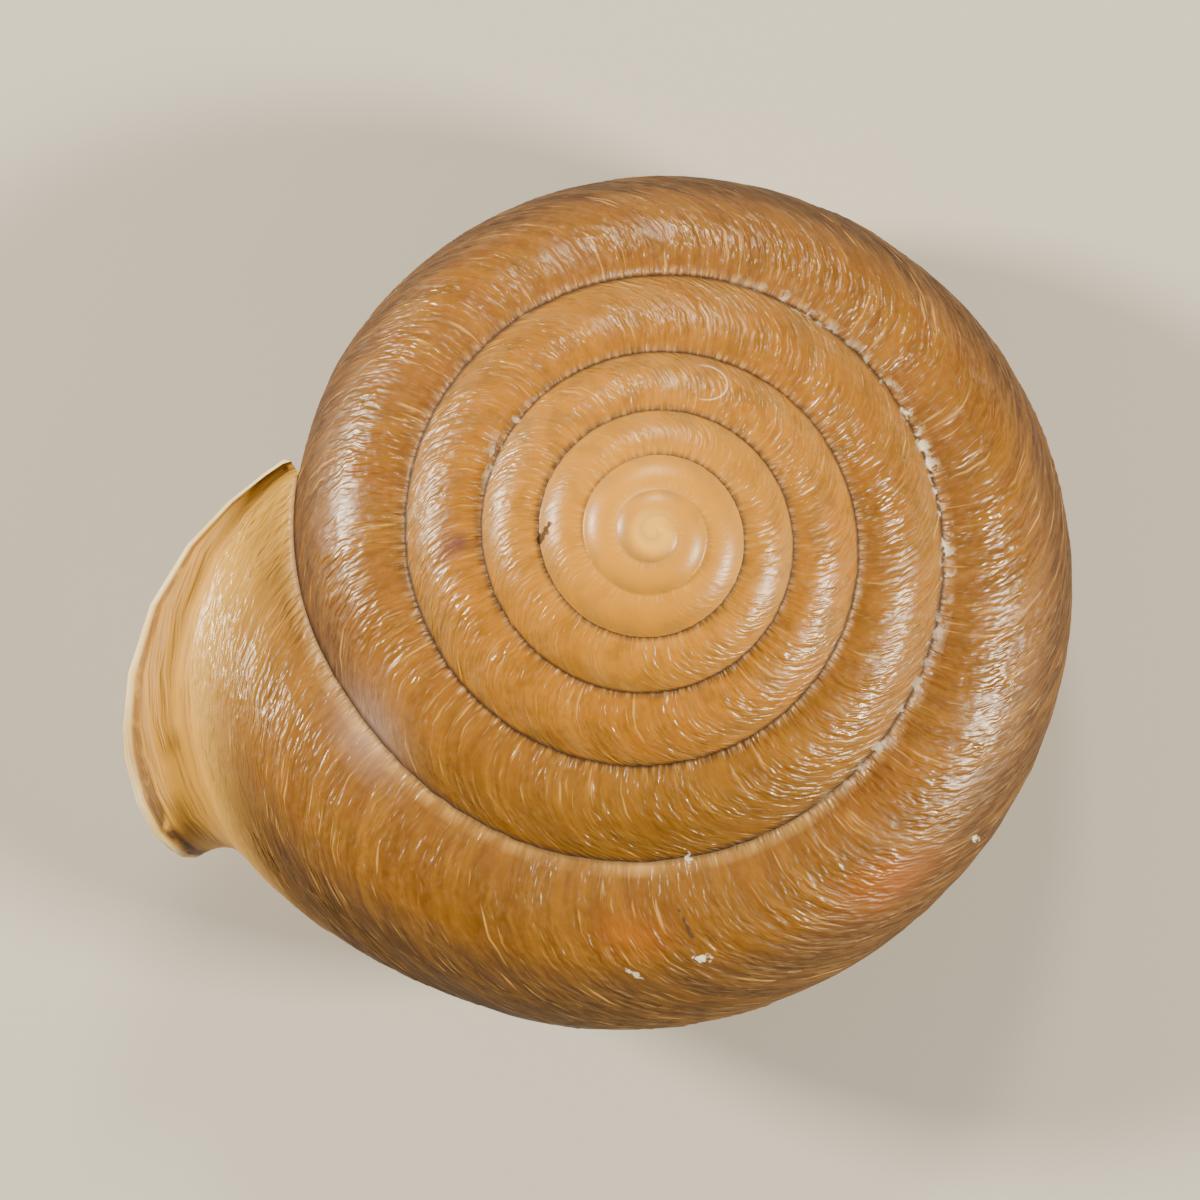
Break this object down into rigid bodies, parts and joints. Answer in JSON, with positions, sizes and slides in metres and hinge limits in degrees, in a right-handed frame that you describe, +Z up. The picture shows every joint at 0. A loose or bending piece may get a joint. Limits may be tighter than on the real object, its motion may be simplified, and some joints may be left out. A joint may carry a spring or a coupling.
{
  "type": "land snail shell",
  "caption": "Empty land snail shell: a low right-handed coil with a rounded last whorl, a turned-out lip and an open mouth, lying on its base.",
  "frame": {"origin": "centre of the bounding box's bottom face, on the surface that the shell lies on", "axes": "+Z up, the side the apex is on; +X away from the mouth's lip; +Y across, with the lip's upper end on the +Y side"},
  "size_m": [0.0296, 0.027, 0.0135],
  "materials": {
    "shell": "glossy horny brown outer layer with fine growth ribs over chalky shell, cream lip"
  },
  "bodies": {
    "root": {"shell": "shell"}
  },
  "joints": []
}
